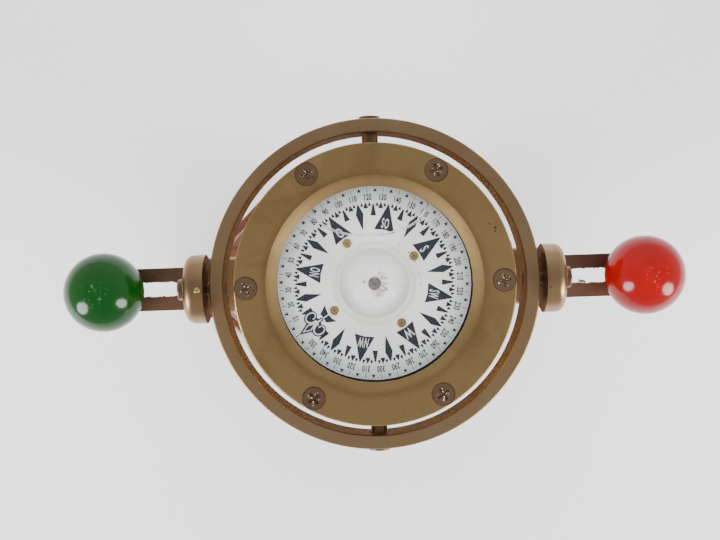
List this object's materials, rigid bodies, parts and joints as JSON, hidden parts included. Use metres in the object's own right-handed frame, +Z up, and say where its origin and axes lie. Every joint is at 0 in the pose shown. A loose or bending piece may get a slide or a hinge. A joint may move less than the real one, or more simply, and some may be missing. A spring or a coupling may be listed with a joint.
{
  "type": "binnacle compass",
  "caption": "Liquid-filled marine compass bowl hung level in a gimbal ring and U-shaped yoke on a turned column, with corrector balls on side arms.",
  "frame": {"origin": "centre of the base's underside, where it stands", "axes": "+X along the line of the two corrector balls, towards the right-hand ball; +Y across it, away from the user; +Z up"},
  "size_m": [0.3142, 0.1696, 0.2474],
  "materials": {
    "pad_rubber": "black rubber, glued on",
    "varnished_wood": "reddish-brown wood, glossy varnish",
    "column_brass": "turned brass, lacquered, darkened in the hollows",
    "yoke_brass": "lacquered brass, aged brown",
    "ring_brass": "lacquered brass, aged brown, satin",
    "bezel_brass": "turned satin brass with fine scratches and dark specks",
    "bezel_screw_brass": "worn brass with chewed recesses",
    "bowl_brass": "cast brass, machined, aged brown",
    "arm_bronze": "dark aged bronze, rough sawn slot edges",
    "pivot_brass": "turned brass, aged",
    "screw_brass": "brass fasteners, aged",
    "bush_bronze": "bearing bronze",
    "green_paint": "glossy green paint with faint turning rings",
    "red_paint": "glossy red paint with faint turning rings",
    "clear_glass": "clear polished glass",
    "seal_rubber": "black rubber",
    "card_white": "off-white card with dark blue-black print",
    "dome_white": "translucent white float, lightly stained",
    "cap_metal": "dull grey metal",
    "point_steel": "hardened point",
    "magnet_steel": "bar magnet",
    "jewel": "red bearing jewel"
  },
  "bodies": {
    "stand": {"base_pad": "pad_rubber", "base_board": "varnished_wood", "column": "column_brass", "column_screws": "screw_brass", "tie_rod": "screw_brass", "tie_rod_washer": "screw_brass", "tie_rod_nut": "screw_brass", "yoke": "yoke_brass", "yoke_cap_nut": "screw_brass", "trunnion_screw_left": "pivot_brass", "trunnion_screw_right": "pivot_brass", "arm_left": "arm_bronze", "arm_right": "arm_bronze", "lock_screw": "screw_brass", "arm_screws_left": "screw_brass", "arm_screws_right": "screw_brass"},
    "left_ball": {"corrector_ball_left": "green_paint", "ball_collar_left": "pivot_brass", "ball_stud_left": "screw_brass", "ball_washer_left": "screw_brass", "ball_nut_left": "screw_brass"},
    "right_ball": {"corrector_ball_right": "red_paint", "ball_collar_right": "pivot_brass", "ball_stud_right": "screw_brass", "ball_washer_right": "screw_brass", "ball_nut_right": "screw_brass"},
    "gimbal": {"gimbal_ring": "ring_brass", "ring_side_bushes": "bush_bronze", "ring_end_bushes": "bush_bronze"},
    "bowl": {"bowl_body": "bowl_brass", "bowl_flange": "bowl_brass", "bezel_ring": "bezel_brass", "bezel_screws": "bezel_screw_brass", "top_glass": "clear_glass", "glass_seal_upper": "seal_rubber", "glass_seal_lower": "seal_rubber", "bowl_trunnion_front": "pivot_brass", "bowl_trunnion_back": "pivot_brass", "filler_plug": "screw_brass", "filler_washer": "seal_rubber", "pivot_bridge": "bowl_brass", "bridge_screws": "screw_brass", "pivot_stem": "pivot_brass", "pivot_point": "point_steel", "diaphragm": "bush_bronze", "diaphragm_gasket": "seal_rubber", "bottom_cover": "bowl_brass", "bottom_screws": "screw_brass", "balance_weight": "pivot_brass"},
    "card": {"card_disc": "card_white", "float_dome": "dome_white", "float_base": "dome_white", "card_screws": "screw_brass", "magnet_carrier": "pivot_brass", "magnet_tubes": "pivot_brass", "magnets": "magnet_steel", "pivot_cap": "cap_metal", "pivot_jewel": "jewel"}
  },
  "joints": [
    {"name": "ring_roll", "type": "hinge", "parent": "stand", "child": "gimbal", "pos_m": [0, 0, 0.2243], "axis": [1, 0, 0], "continuous": true},
    {"name": "bowl_pitch", "type": "hinge", "parent": "gimbal", "child": "bowl", "pos_m": [0, 0, 0.2243], "axis": [0, 1, 0], "continuous": true},
    {"name": "card_turn", "type": "hinge", "parent": "bowl", "child": "card", "pos_m": [0, 0, 0.2243], "axis": [0, 0, 1], "continuous": true},
    {"name": "left_ball_slide", "type": "slide", "parent": "stand", "child": "left_ball", "axis": [1, 0, 0], "range_m": [0, 0.013]},
    {"name": "right_ball_slide", "type": "slide", "parent": "stand", "child": "right_ball", "axis": [-1, 0, 0], "range_m": [0, 0.013]}
  ]
}
